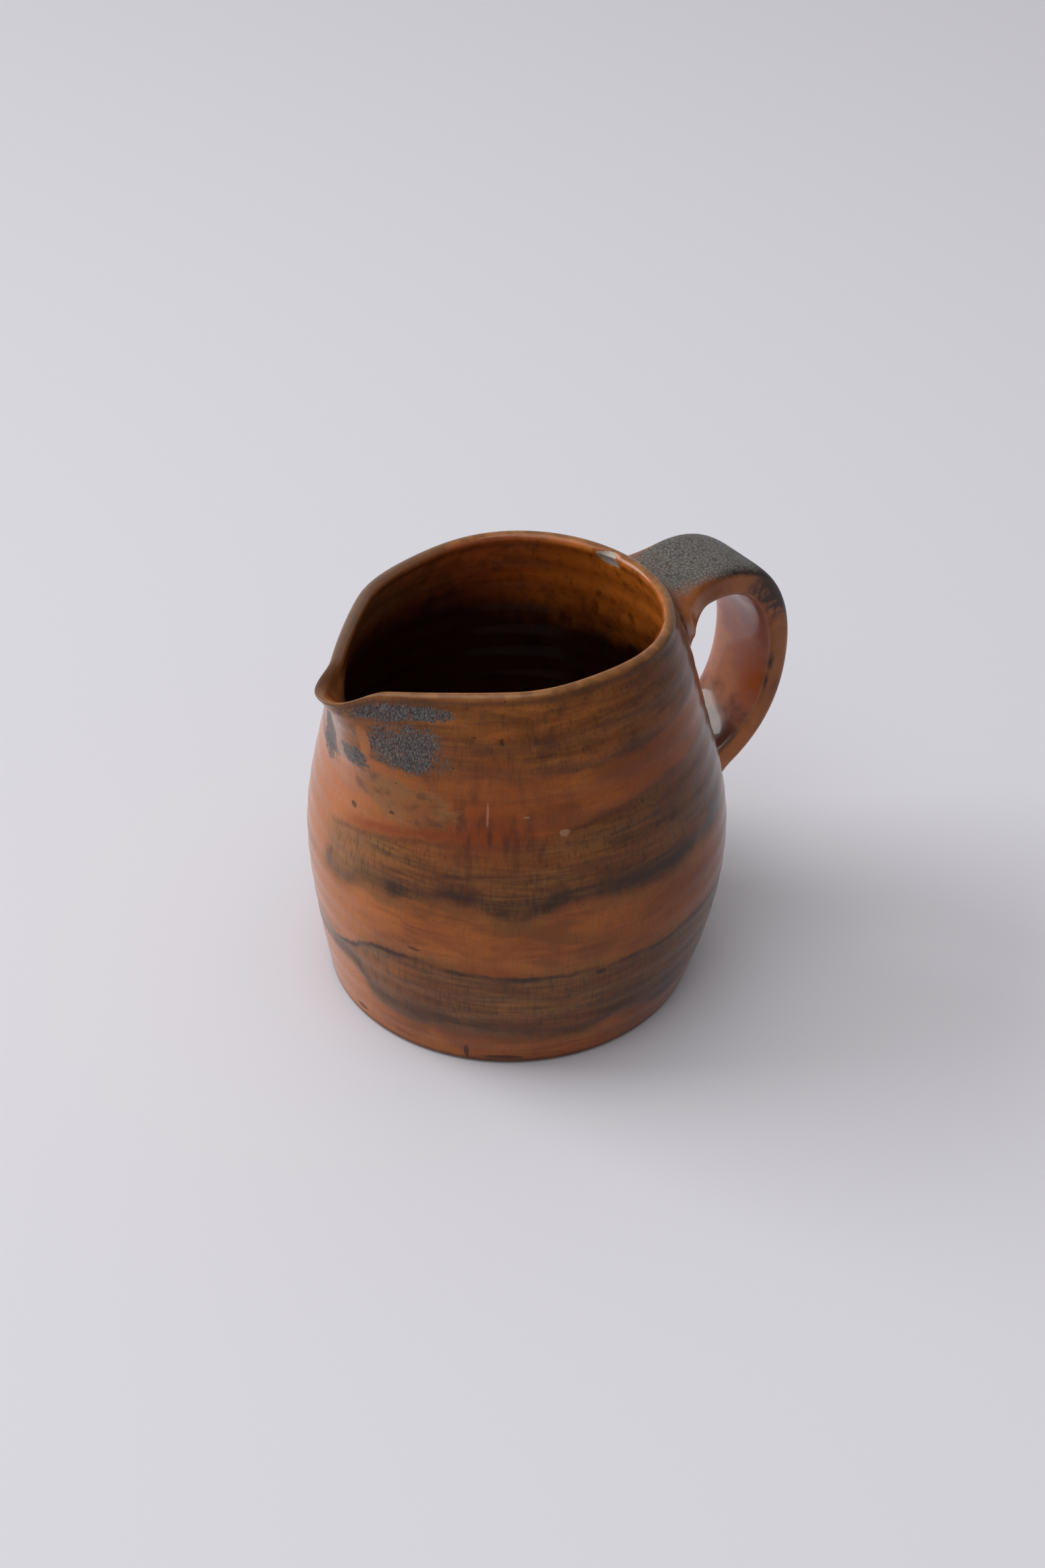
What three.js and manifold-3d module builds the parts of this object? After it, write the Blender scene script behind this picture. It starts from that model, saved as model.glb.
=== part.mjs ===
// A hand-thrown stoneware pitcher: a bellied body with a pulled beak spout, and a strap handle that is
// joined to the wall by a wad of clay at each end.
// Millimetres. +Z is up, the handle is on the +X side and the spout points along -X.
// The origin is the centre of the flat underside.
import * as THREE from "three";
import { LoftGeometry } from "three/addons/geometries/LoftGeometry.js";
import { mergeVertices } from "three/addons/utils/BufferGeometryUtils.js";
import Module from "manifold-3d";

// Outer wall of the body
const height = 128.4;
const footRadius = 58;
const footFlare = 0.24; // how far the wall widens for each millimetre it rises, just above the foot
const bellyRadius = 65.1;
const bellyHeight = 50;
const shoulderRadius = 56.8;
const shoulderHeight = 94.3;
const mouthRadius = 46.6;
const mouthFlare = -0.5; // the same slope at the lip, where the wall leans in
const mouthPinch = 3; // the sides of the mouth are pressed in by this much beside the spout
const pinchAngle = 1.48; // radians from the tip to the middle of a pressed side
const pinchSpread = 0.49;
const pinchDepth = 60;
const pinchCurl = 1.5; // power of the pressing's fade below the lip
const footRounding = 2;
const rimTilt = 1.9; // how much lower the rim is at the back than at its high side
const rimHighSide = -2.4; // angle of the high side, in radians from +X
const rimTiltDepth = 34; // how far below the lip the tilt fades out

// The pot was thrown a little out of true: these are steps away from the foot's centre.
const mouthOffset = new THREE.Vector2(0.8, -1.6);
const bellyDrift = new THREE.Vector2(1.5, -1.1);
const driftScale = 6.75; // makes the whole drift come at a third of the height

// Clay thickness
const wallThickness = 4.5;
const lipThickness = 4.4;
const lipTaper = 30; // height over which the wall thins to the lip
const floorThickness = 7;
const floorFillet = 11;

// Spout
const spoutReach = 69.4; // tip to the mouth's centre
const spoutTurn = 0.085; // radians that the spout stands off the handle's plane
const spoutFlank = 0.873; // angle from the tip at which the pull starts
const spoutSoftness = 0.12; // radians, rounds the fold between the two flanks
const spoutDepth = 46; // how far below the lip the pulled channel fades out
const spoutCurl = 1.7; // power of the fade: the channel leans out more sharply as this grows
const beakAngle = 0.14; // half the width of the pinched beak at the tip, in radians
const beakDepth = 17;
const beakDip = 2.2; // how far the tip droops below the rest of the lip
const beakThinning = 0.35; // share of the clay that the pull takes out of the beak

// Handle strap
const strapWidth = 29;
const strapFootWidth = 26;
const strapThickness = 10.6;
const strapEdge = 5; // power of the rounded-rectangle section
const handleReach = 95.2; // foot's centre to the strap's centreline at its furthest
const handleReachHeight = 84;
const upperRootDrop = 16; // lip to the centreline of the strap's upper root
const lowerRootHeight = 44.3;
const crownRise = 12.5; // how far the crown's control point stands above the upper root
const lowerRootRise = 6.5; // and the lower sweep's above the lower root
const crownReach = 0.72; // where the strap's control points stand, as shares of the way between its ends
const crownHold = 0.67;
const sweepHold = 0.5;
const sweepReach = 0.7;

// Clay wads that join the strap to the wall
const upperWad = { length: 12, over: 1.5, under: 7.5, side: 5 };
const lowerWad = { length: 12, over: 4, under: 6, side: 4 };
const wadEdge = 2.6; // power of the section where it meets the wall: rounder than the strap
const wadInset = 9; // the wads start this far inside the wall before the wall cuts them
const jointGap = 0.3;
const wallGap = 0.36; // a little more, because the wall is faceted

// Mesh steps
const ringSteps = 64;
const ringCrowding = 0.55; // draws the rings' points towards the spout
const wallSteps = 16;
const arcSteps = 4;
const sectionSteps = 22;
const strapSteps = 34;
const wadSteps = 8;

const clamp01 = (value) => Math.min(1, Math.max(0, value));

// Outer radius of the wall at a height: a smooth curve through the foot, belly, shoulder and mouth.
const profileStops = [
  { z: 0, radius: footRadius, slope: footFlare },
  { z: bellyHeight, radius: bellyRadius, slope: 0 },
  {
    z: shoulderHeight,
    radius: shoulderRadius,
    slope: (mouthRadius - bellyRadius) / (height - bellyHeight),
  },
  { z: height, radius: mouthRadius, slope: mouthFlare },
];

function wallRadius(z) {
  const inside = THREE.MathUtils.clamp(z, 0, height);
  const next = Math.max(1, profileStops.findIndex((stop) => stop.z >= inside));
  const low = profileStops[next - 1];
  const high = profileStops[next];
  const span = high.z - low.z;
  const t = (inside - low.z) / span;
  return (
    low.radius * (2 * t ** 3 - 3 * t ** 2 + 1) +
    low.slope * span * (t ** 3 - 2 * t ** 2 + t) +
    high.radius * (3 * t ** 2 - 2 * t ** 3) +
    high.slope * span * (t ** 3 - t ** 2)
  );
}

function thicknessAt(z) {
  const taper = clamp01((z - height + lipTaper) / lipTaper);
  return THREE.MathUtils.lerp(wallThickness, lipThickness, taper);
}

// Where the body's centre lies at a height.
function centreAt(z) {
  const rise = z / height;
  const drift = driftScale * rise * (1 - rise) ** 2;
  return mouthOffset.clone().multiplyScalar(rise).addScaledVector(bellyDrift, drift);
}

// Profile points as Vector2(radius, z).
function arc(centreRadius, centreZ, radius, from, to) {
  const turn = new THREE.EllipseCurve(centreRadius, centreZ, radius, radius, from, to, from > to);
  return turn.getPoints(arcSteps);
}

function wallLine(fromZ, toZ, radiusAt) {
  const points = [];
  for (let i = 0; i <= wallSteps; i++) {
    const z = THREE.MathUtils.lerp(fromZ, toZ, i / wallSteps);
    points.push(new THREE.Vector2(radiusAt(z), z));
  }
  return points;
}

function outerProfile() {
  const lipRadius = lipThickness / 2;
  const lipZ = height - lipRadius;
  return [
    ...wallLine(lipZ, footRounding, wallRadius),
    ...arc(wallRadius(footRounding) - footRounding, footRounding, footRounding, 0, -Math.PI / 2).slice(1),
  ];
}

function innerProfile() {
  const lipRadius = lipThickness / 2;
  const lipZ = height - lipRadius;
  const innerRadius = (z) => wallRadius(z) - thicknessAt(z);
  const cornerZ = floorThickness + floorFillet;
  const cornerRadius = innerRadius(cornerZ) - floorFillet;
  return [
    ...arc(cornerRadius, cornerZ, floorFillet, -Math.PI / 2, 0),
    ...wallLine(cornerZ, lipZ, innerRadius).slice(1),
    ...arc(wallRadius(lipZ) - lipRadius, lipZ, lipRadius, Math.PI, 0).slice(1, -1),
  ];
}

const fadeBelow = (z, depth, power) => clamp01((z - height + depth) / depth) ** power;
const beakAt = (angle) => Math.exp(-((angle / beakAngle) ** 4));

// How many times further out than the round wall the pulled spout stands, at an angle from its tip.
function spoutStretch(angle, z) {
  const fold = (from) => 1 / Math.cos(Math.max(0, spoutFlank - Math.hypot(from, spoutSoftness)));
  const beak = spoutReach / mouthRadius - fold(0);
  const flanks = (fold(angle) - 1) * fadeBelow(z, spoutDepth, spoutCurl);
  const pinch = Math.exp(-(((Math.abs(angle) - pinchAngle) / pinchSpread) ** 2));
  const pressed = (mouthPinch / mouthRadius) * pinch * fadeBelow(z, pinchDepth, pinchCurl);
  return 1 + flanks + beak * beakAt(angle) * fadeBelow(z, beakDepth, spoutCurl) - pressed;
}

// One ring of the body through a profile point, counterclockwise from above.
function bodyRing(point, grown) {
  const ring = [];
  const centre = centreAt(point.y);
  const outer = wallRadius(point.y);
  for (let i = 0; i < ringSteps; i++) {
    const even = (2 * Math.PI * i) / ringSteps;
    const fromTip = even + ringCrowding * Math.sin(even) - Math.PI;
    const angle = fromTip + Math.PI + spoutTurn;
    const pulled = beakAt(fromTip) * fadeBelow(point.y, beakDepth, spoutCurl);
    const depth = outer - point.x;
    const radius = outer * spoutStretch(fromTip, point.y) - depth * (1 - beakThinning * pulled) + grown;
    const lowered = (rimTilt / 2) * (1 - Math.cos(angle - rimHighSide)) * fadeBelow(point.y, rimTiltDepth, 1);
    ring.push(
      new THREE.Vector3(
        centre.x + radius * Math.cos(angle),
        centre.y + radius * Math.sin(angle),
        point.y - beakDip * pulled - lowered,
      ),
    );
  }
  return ring;
}

// Lofts the body's rings down a profile whose outer wall runs from the lip to the foot.
function bodyLoft(profile, options) {
  return new LoftGeometry(profile.map((point) => bodyRing(point, options.grown).reverse()), options);
}

function bodyGeometry() {
  const floorCentre = new THREE.Vector2(0, floorThickness);
  const footCentre = new THREE.Vector2(0, 0);
  return bodyLoft([floorCentre, ...innerProfile(), ...outerProfile(), footCentre], { grown: 0 });
}

// The strap's centreline, from inside the wall at the upper root to inside the wall at the lower root.
function handlePath() {
  const rootAt = (z) => new THREE.Vector3(wallRadius(z) + centreAt(z).x, 0, z);
  const upperRoot = rootAt(height - upperRootDrop);
  const lowerRoot = rootAt(lowerRootHeight);
  const furthest = new THREE.Vector3(handleReach, 0, handleReachHeight);
  const between = (from, to, across, up) =>
    new THREE.Vector3(
      THREE.MathUtils.lerp(from.x, to.x, across),
      0,
      THREE.MathUtils.lerp(from.z, to.z, up),
    );
  const crown = between(upperRoot, furthest, crownReach, 0);
  crown.z += crownRise;
  const crownEnd = between(furthest, upperRoot, 0, crownHold);
  const sweepStart = between(furthest, lowerRoot, 0, sweepHold);
  const sweepEnd = between(lowerRoot, furthest, sweepReach, 0);
  sweepEnd.z += lowerRootRise;
  const away = (root, next) => root.clone().sub(next).setLength(wadInset).add(root);
  const path = new THREE.CurvePath();
  path.add(new THREE.LineCurve3(away(upperRoot, crown), upperRoot));
  path.add(new THREE.CubicBezierCurve3(upperRoot, crown, crownEnd, furthest));
  path.add(new THREE.CubicBezierCurve3(furthest, sweepStart, sweepEnd, lowerRoot));
  path.add(new THREE.LineCurve3(lowerRoot, away(lowerRoot, sweepEnd)));
  return path;
}

const handle = handlePath();
const handleLength = handle.getLength();
const wallAt = { upper: wadInset, lower: handleLength - wadInset };

// The strap's section at a distance along the centreline, spread near the wall by the wads.
function strapSection(distance) {
  const centre = handle.getPointAt(distance / handleLength);
  const along = handle.getTangentAt(distance / handleLength);
  const outward = new THREE.Vector3(-along.z, 0, along.x);
  const spread = (wad, fromWall) => clamp01(1 - fromWall / wad.length) ** 2;
  const upper = spread(upperWad, Math.max(0, distance - wallAt.upper));
  const lower = spread(lowerWad, Math.max(0, wallAt.lower - distance));
  const width = THREE.MathUtils.lerp(strapWidth, strapFootWidth, distance / handleLength);
  const halfWidth = width / 2 + upper * upperWad.side + lower * lowerWad.side;
  const over = strapThickness / 2 + upper * upperWad.over + lower * lowerWad.over;
  const under = strapThickness / 2 + upper * upperWad.under + lower * lowerWad.under;
  const edge = THREE.MathUtils.lerp(strapEdge, wadEdge, Math.max(upper, lower));
  const rounded = (value) => Math.sign(value) * Math.abs(value) ** (2 / edge);
  const ring = [];
  for (let i = 0; i < sectionSteps; i++) {
    const angle = (2 * Math.PI * i) / sectionSteps;
    const side = rounded(Math.cos(angle)) * halfWidth;
    const lift = rounded(Math.sin(angle));
    ring.push(
      centre
        .clone()
        .addScaledVector(outward, lift > 0 ? lift * over : lift * under)
        .add(new THREE.Vector3(0, side, 0)),
    );
  }
  return ring;
}

function strapGeometry(from, to, steps) {
  const rings = [];
  for (let i = 0; i <= steps; i++) {
    rings.push(strapSection(THREE.MathUtils.lerp(from, to, i / steps)));
  }
  return new LoftGeometry(rings, { capStart: true, capEnd: true });
}

// Booleans
const wasm = await Module();
wasm.setup();

function solidOf(geometry) {
  const bare = new THREE.BufferGeometry()
    .setAttribute("position", geometry.attributes.position)
    .setIndex(geometry.index);
  const merged = mergeVertices(bare, 1e-4);
  return new wasm.Manifold(
    new wasm.Mesh({
      numProp: 3,
      vertProperties: merged.attributes.position.array,
      triVerts: new Uint32Array(merged.index.array),
    }),
  );
}

function geometryOf(solid) {
  const mesh = solid.getMesh();
  return new THREE.BufferGeometry()
    .setAttribute("position", new THREE.BufferAttribute(mesh.vertProperties, 3))
    .setIndex(new THREE.BufferAttribute(mesh.triVerts, 1));
}

// A wad is the spread end of the strap, cut back to just clear of the wall.
function wadGeometry(from, to) {
  const filledBody = bodyLoft(outerProfile(), { grown: wallGap, capStart: true, capEnd: true });
  return geometryOf(solidOf(strapGeometry(from, to, wadSteps)).subtract(solidOf(filledBody)));
}

const clayGlaze = (color) => new THREE.MeshStandardMaterial({ color, roughness: 0.25, metalness: 0 });

function piece(name, geometry, color) {
  const mesh = new THREE.Mesh(geometry, clayGlaze(color));
  mesh.name = name;
  return mesh;
}

const upperCut = wallAt.upper + upperWad.length;
const lowerCut = wallAt.lower - lowerWad.length;

const pitcher = new THREE.Group();
pitcher.add(
  piece("jug_body", bodyGeometry(), 0x8f4b22),
  piece("handle_strap", strapGeometry(upperCut + jointGap, lowerCut - jointGap, strapSteps), 0x9a5a34),
  piece("upper_handle_wad", wadGeometry(0, upperCut), 0x5d5a55),
  piece("lower_handle_wad", wadGeometry(lowerCut, handleLength), 0x7d4326),
);

export default pitcher;
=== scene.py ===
"""A hand-thrown stoneware pitcher in banded brown glazes, with a pulled spout and a strap handle.

Named sizes are millimetres and named angles are radians, and the glazes count degrees round from the front.
The handle is on the +X side and the spout points along -X.
"""

import math

import bmesh
import bpy
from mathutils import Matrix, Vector


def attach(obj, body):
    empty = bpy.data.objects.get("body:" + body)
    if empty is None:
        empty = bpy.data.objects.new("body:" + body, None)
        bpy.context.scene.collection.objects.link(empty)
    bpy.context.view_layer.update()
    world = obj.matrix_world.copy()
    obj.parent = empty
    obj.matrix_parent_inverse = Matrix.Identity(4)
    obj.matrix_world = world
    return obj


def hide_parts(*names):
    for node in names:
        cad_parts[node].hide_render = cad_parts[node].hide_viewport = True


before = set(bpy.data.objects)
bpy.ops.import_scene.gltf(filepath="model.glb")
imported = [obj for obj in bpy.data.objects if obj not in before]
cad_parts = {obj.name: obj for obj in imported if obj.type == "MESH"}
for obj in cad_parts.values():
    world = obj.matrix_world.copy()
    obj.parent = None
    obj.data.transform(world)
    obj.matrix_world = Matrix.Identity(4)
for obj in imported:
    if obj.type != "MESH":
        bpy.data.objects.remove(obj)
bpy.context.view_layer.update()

MM = 0.001

# The body's outer wall
HEIGHT = 128.4
FOOT_RADIUS = 58
FOOT_FLARE = 0.24
BELLY_RADIUS = 65.1
BELLY_HEIGHT = 50
SHOULDER_RADIUS = 56.8
SHOULDER_HEIGHT = 94.3
MOUTH_RADIUS = 46.6
MOUTH_FLARE = -0.5
FOOT_ROUNDING = 2
RIM_TILT = 1.9  # how much lower the rim is opposite its high side
RIM_HIGH_SIDE = -2.4  # the way round to that side, from +X
RIM_TILT_DEPTH = 34  # the tilt fades out this far below the lip

# The pot leans a little: steps away from the foot's centre at the mouth and at the belly
MOUTH_OFFSET = (0.8, -1.6)
BELLY_DRIFT = (1.5, -1.1)
DRIFT_SCALE = 27 / 4  # makes the drift whole at its height, a third of the way up

# Clay thickness
WALL_THICKNESS = 4.5
LIP_THICKNESS = 4.4
LIP_TAPER = 30
FLOOR_THICKNESS = 7
FLOOR_FILLET = 11

# Handle strap
STRAP_WIDTH = 29
STRAP_FOOT_WIDTH = 26
STRAP_THICKNESS = 10.6
STRAP_EDGE = 5  # the power of the section's curve: 2 is round, and more is squarer
HANDLE_REACH = 95.2
HANDLE_REACH_HEIGHT = 84
UPPER_ROOT_DROP = 16
LOWER_ROOT_HEIGHT = 44.3
CROWN_RISE = 12.5
LOWER_ROOT_RISE = 6.5
CROWN_REACH = 0.72  # where the strap's control points stand, as shares of the way between its ends
CROWN_HOLD = 0.67
SWEEP_HOLD = 0.5
SWEEP_REACH = 0.7
WAD_LENGTH = 12
WAD_EDGE = 2.6  # the same power in the wads
WAD_INSET = 9  # how far the handle's line runs on inside the clay
WAD_SINK = 1.5  # how deep the wads reach into the wall
WELD_REACH = 6  # the smoothed clay where a wad meets the wall, out from the wall
WELD_HEIGHT = 2.4  # and along it
END_CLOSING = 5  # the sweep's buried ends close up over this length

# Mesh steps
AROUND_STEPS = 320
WALL_STEPS = 84
LIP_STEPS = 14
FILLET_STEPS = 16
SECTION_STEPS = 96
STRAP_SPACING = 0.45

FRONT = math.radians(-124.56)  # the side with the best bands, from which the glazes count degrees round

# Studio
CAMERA_PLACE = (-304.2, -441.7, 466.9)
CAMERA_AIM = (0.4581, 0.6542, -0.6018)
WINDOW_SIDE = (-0.55, 0.72, 0.42)  # the way to the room's bright end
ROOM_GLOW = (0.3, 0.58)  # the strength of the light at the dim end and at the bright end
ROOM_TINT = (0.985, 0.97, 0.97, 1)


# ---------------------------------------------------------------------------------------------------------
# Fields: numbers that vary over a surface
# ---------------------------------------------------------------------------------------------------------


class Field:
    """A number that varies over a surface: one output of a node tree, with plain arithmetic."""

    def __init__(self, socket):
        self.socket = socket
        self.tree = socket.id_data

    def math(self, operation, *others, clamp=False):
        node = self.tree.nodes.new("ShaderNodeMath")
        node.operation = operation
        node.use_clamp = clamp
        for socket, value in zip(node.inputs, (self, *others)):
            feed(socket, value)
        return Field(node.outputs[0])

    def __add__(self, other):
        return self.math("ADD", other)

    def __sub__(self, other):
        return self.math("SUBTRACT", other)

    def __mul__(self, other):
        return self.math("MULTIPLY", other)

    def __truediv__(self, other):
        return self.math("DIVIDE", other)

    def __pow__(self, other):
        return self.math("POWER", other)

    def __neg__(self):
        return self * -1

    def __rsub__(self, other):
        return -self + other

    def __rtruediv__(self, other):
        return self**-1 * other

    __radd__ = __add__
    __rmul__ = __mul__


def feed(socket, value):
    """Links a field or a socket into a node's input, or sets the input to a plain value."""
    if isinstance(value, Field):
        value = value.socket
    if isinstance(value, bpy.types.NodeSocket):
        socket.id_data.links.new(value, socket)
    else:
        socket.default_value = value


def add_node(tree, kind, inputs=None, **settings):
    node = tree.nodes.new(kind)
    for name, value in settings.items():
        setattr(node, name, value)
    for name, value in (inputs or {}).items():
        feed(node.inputs[name], value)
    return node


def clamp01(field):
    return field.math("ADD", 0, clamp=True)


def hill(field, centre, width):
    """1 at the centre, falling away smoothly over the width on each side."""
    return ((field - centre) / width).math("POWER", 2).math("MULTIPLY", -1).math("EXPONENT")


def ramp(field, low, high):
    """0 below low, 1 above high, smooth between. High may be the smaller one."""
    eased = add_node(field.tree, "ShaderNodeMapRange", interpolation_type="SMOOTHSTEP")
    for name, value in {"Value": field, "From Min": low, "From Max": high}.items():
        feed(eased.inputs[name], value)
    return Field(eased.outputs["Result"])


def between(field, low, high, soft):
    """1 between two levels, fading over the softness at each."""
    return ramp(field, low - soft, low + soft) * ramp(field, high + soft, high - soft)


def highest(*fields):
    """The largest of several fields at each spot."""
    result = fields[0]
    for field in fields[1:]:
        result = result.math("MAXIMUM", field)
    return result


def waves(angle, kinds):
    """The sum of several waves round the pot."""
    return sum((angle * count + shift).math("SINE") * size for count, shift, size in kinds)


def vector(tree, x, y, z):
    return add_node(tree, "ShaderNodeCombineXYZ", {"X": x, "Y": y, "Z": z}).outputs[0]


def parts_of(tree, socket):
    split = add_node(tree, "ShaderNodeSeparateXYZ", {"Vector": socket})
    return [Field(output) for output in split.outputs]


# ---------------------------------------------------------------------------------------------------------
# Shape rules of the body
# ---------------------------------------------------------------------------------------------------------


def wall_radius(z):
    """Outer radius of the wall at a height: a smooth curve through the foot, belly, shoulder and mouth."""
    lean = (MOUTH_RADIUS - BELLY_RADIUS) / (HEIGHT - BELLY_HEIGHT)
    stops = [
        (0, FOOT_RADIUS, FOOT_FLARE),
        (BELLY_HEIGHT, BELLY_RADIUS, 0),
        (SHOULDER_HEIGHT, SHOULDER_RADIUS, lean),
        (HEIGHT, MOUTH_RADIUS, MOUTH_FLARE),
    ]
    z = min(max(z, 0), HEIGHT)
    low, high = next((a, b) for a, b in zip(stops, stops[1:]) if z <= b[0])
    span = high[0] - low[0]
    t = (z - low[0]) / span
    return (
        low[1] * (2 * t**3 - 3 * t**2 + 1)
        + low[2] * span * (t**3 - 2 * t**2 + t)
        + high[1] * (3 * t**2 - 2 * t**3)
        + high[2] * span * (t**3 - t**2)
    )


def wall_thickness(z):
    taper = min(1, max(0, (z - HEIGHT + LIP_TAPER) / LIP_TAPER))
    return WALL_THICKNESS + (LIP_THICKNESS - WALL_THICKNESS) * taper


def centre_at(z):
    """Where the body's centre lies at a height, for a number or a field."""
    rise = z / HEIGHT
    drift = DRIFT_SCALE * rise * (1 - rise) ** 2
    return [MOUTH_OFFSET[k] * rise + BELLY_DRIFT[k] * drift for k in (0, 1)]


def arc(centre_r, centre_z, radius, start, end, steps):
    turns = [start + (end - start) * i / steps for i in range(steps + 1)]
    return [(centre_r + radius * math.cos(t), centre_z + radius * math.sin(t)) for t in turns]


def wall_line(start, end, radius_at):
    levels = [start + (end - start) * i / WALL_STEPS for i in range(WALL_STEPS + 1)]
    return [(radius_at(z), z) for z in levels]


def disc_line(radius, z, steps=24):
    """Points from the axis out to a radius, closer together near the radius."""
    return [(radius * math.sin(math.pi / 2 * i / steps), z) for i in range(steps + 1)]


def body_profile():
    """The body's section from the middle of the floor, over the lip, to the middle of the underside."""
    lip_r = LIP_THICKNESS / 2
    lip_z = HEIGHT - lip_r
    corner_z = FLOOR_THICKNESS + FLOOR_FILLET

    def inner_radius(z):
        return wall_radius(z) - wall_thickness(z)

    corner_r = inner_radius(corner_z) - FLOOR_FILLET
    foot_r = wall_radius(FOOT_ROUNDING) - FOOT_ROUNDING
    quarter = math.pi / 2
    inside = [
        *disc_line(corner_r, FLOOR_THICKNESS)[:-1],
        *arc(corner_r, corner_z, FLOOR_FILLET, -quarter, 0, FILLET_STEPS),
        *wall_line(corner_z, lip_z, inner_radius)[1:],
    ]
    lip = arc(wall_radius(lip_z) - lip_r, lip_z, lip_r, math.pi, 0, LIP_STEPS)[1:-1]
    outside = [
        *wall_line(lip_z, FOOT_ROUNDING, wall_radius),
        *arc(foot_r, FOOT_ROUNDING, FOOT_ROUNDING, 0, -quarter, 8)[1:],
        *disc_line(foot_r, 0)[-2::-1],
    ]
    return inside, lip, outside


def length_along(points):
    return sum(math.dist(a, b) for a, b in zip(points, points[1:]))


# ---------------------------------------------------------------------------------------------------------
# Geometry Nodes
# ---------------------------------------------------------------------------------------------------------


def new_rule(name, sizes):
    """A Geometry Nodes tree that takes a curve and named sizes. Returns its input and the sizes as fields."""
    tree = bpy.data.node_groups.new(name, "GeometryNodeTree")
    tree.interface.new_socket("Geometry", in_out="INPUT", socket_type="NodeSocketGeometry")
    tree.interface.new_socket("Geometry", in_out="OUTPUT", socket_type="NodeSocketGeometry")
    for size in sizes:
        tree.interface.new_socket(size, in_out="INPUT", socket_type="NodeSocketFloat")
    start = tree.nodes.new("NodeGroupInput")
    return tree, start.outputs["Geometry"], {size: Field(start.outputs[size]) for size in sizes}


def finish_rule(tree, geometry, material):
    merged = add_node(tree, "GeometryNodeMergeByDistance", {"Geometry": geometry, "Distance": 0.01 * MM})
    smooth = add_node(tree, "GeometryNodeSetShadeSmooth", {"Geometry": merged.outputs[0]})
    real = add_node(tree, "GeometryNodeRealizeInstances", {"Geometry": smooth.outputs[0]})
    glazed = add_node(tree, "GeometryNodeSetMaterial", {"Geometry": real.outputs[0], "Material": material})
    end = tree.nodes.new("NodeGroupOutput")
    tree.links.new(glazed.outputs[0], end.inputs[0])


def capture(tree, geometry, kind, field):
    """Keeps a field's values on a curve's points, so that they can be read on the mesh made from it."""
    node = add_node(tree, "GeometryNodeCaptureAttribute", {"Geometry": geometry})
    node.capture_items.new(kind, "kept")
    feed(node.inputs["kept"], field)
    return node.outputs["Geometry"], node.outputs["kept"]


def keep_as(tree, geometry, name, value, kind="FLOAT"):
    """Names a field's values as an attribute that the glaze can read."""
    node = add_node(
        tree,
        "GeometryNodeStoreNamedAttribute",
        {"Geometry": geometry, "Name": name, "Value": value},
        data_type=kind,
    )
    return node.outputs[0]


def move_to(tree, geometry, position=None, offset=None):
    node = add_node(tree, "GeometryNodeSetPosition", {"Geometry": geometry})
    if position is not None:
        feed(node.inputs["Position"], position)
    if offset is not None:
        feed(node.inputs["Offset"], offset)
    return node.outputs[0]


def scaled(tree, socket, factor):
    node = add_node(tree, "ShaderNodeVectorMath", {"Vector": socket, "Scale": factor}, operation="SCALE")
    return node.outputs[0]


def ring_around(tree, steps):
    """A closed round curve, and the angle at each of its points."""
    circle = add_node(tree, "GeometryNodeCurvePrimitiveCircle", {"Resolution": steps})
    index = Field(add_node(tree, "GeometryNodeInputIndex").outputs[0])
    curve, angle = capture(tree, circle.outputs["Curve"], "FLOAT", index * (2 * math.pi / steps))
    return curve, Field(angle)


def swept(tree, path, section):
    node = add_node(tree, "GeometryNodeCurveToMesh", {"Curve": path, "Profile Curve": section})
    return node.outputs["Mesh"]


def spout_stretch(from_tip, z, size):
    """How many times further out than the round wall the pulled spout stands, and how much of it is beak."""

    def fade_below(depth, power):
        return clamp01((z - HEIGHT + depth) / depth) ** power

    def fold(softened):
        return 1 / (size["Spout Flank"] - softened).math("MAXIMUM", 0).math("COSINE")

    flanks = fold((from_tip**2 + size["Spout Softness"] ** 2) ** 0.5) - 1
    beak = size["Spout Reach"] / MOUTH_RADIUS - fold(size["Spout Softness"])
    beak_shape = (-((from_tip / size["Beak Angle"]) ** 4)).math("EXPONENT")
    low_fade = fade_below(size["Beak Depth"], size["Spout Curl"])
    pinch = hill(from_tip.math("ABSOLUTE"), size["Pinch Angle"], size["Pinch Spread"])
    pressed = size["Mouth Pinch"] / MOUTH_RADIUS * pinch * fade_below(size["Pinch Depth"], size["Pinch Curl"])
    stretch = 1 + flanks * fade_below(size["Spout Depth"], size["Spout Curl"]) - pressed
    return stretch + beak * beak_shape * low_fade, beak_shape * low_fade


# Named inputs of the rules. A curl is the power by which a shape fades out below the lip.
SPOUT = {
    "Spout Reach": 69.4,
    "Spout Turn": 0.085,
    "Spout Flank": 0.873,
    "Spout Softness": 0.12,
    "Spout Depth": 46,
    "Spout Curl": 1.7,
    "Beak Angle": 0.14,
    "Beak Depth": 17,
    "Beak Dip": 2.2,
    "Beak Thinning": 0.35,
    "Mouth Pinch": 3,
    "Pinch Angle": 1.48,
    "Pinch Spread": 0.49,
    "Pinch Depth": 60,
    "Pinch Curl": 1.5,
}
THROWING = {
    "Ring Crowding": 0.55,
    "Outer Ripple": 0.09,
    "Inner Ripple": 0.17,
    "Lip Waver": 0.5,
    "Chip Angle": math.radians(14.5),
    "Chip Drop": 4.0,
    "Chip Width": 4.6,
    "Chip Height": 3.6,
    "Chip Slant": 0.9,
    "Chip Depth": 0.9,
}
STRAP = {
    "Width": STRAP_WIDTH,
    "Foot Width": STRAP_FOOT_WIDTH,
    "Thickness": STRAP_THICKNESS,
    "Edge": STRAP_EDGE,
}
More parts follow.
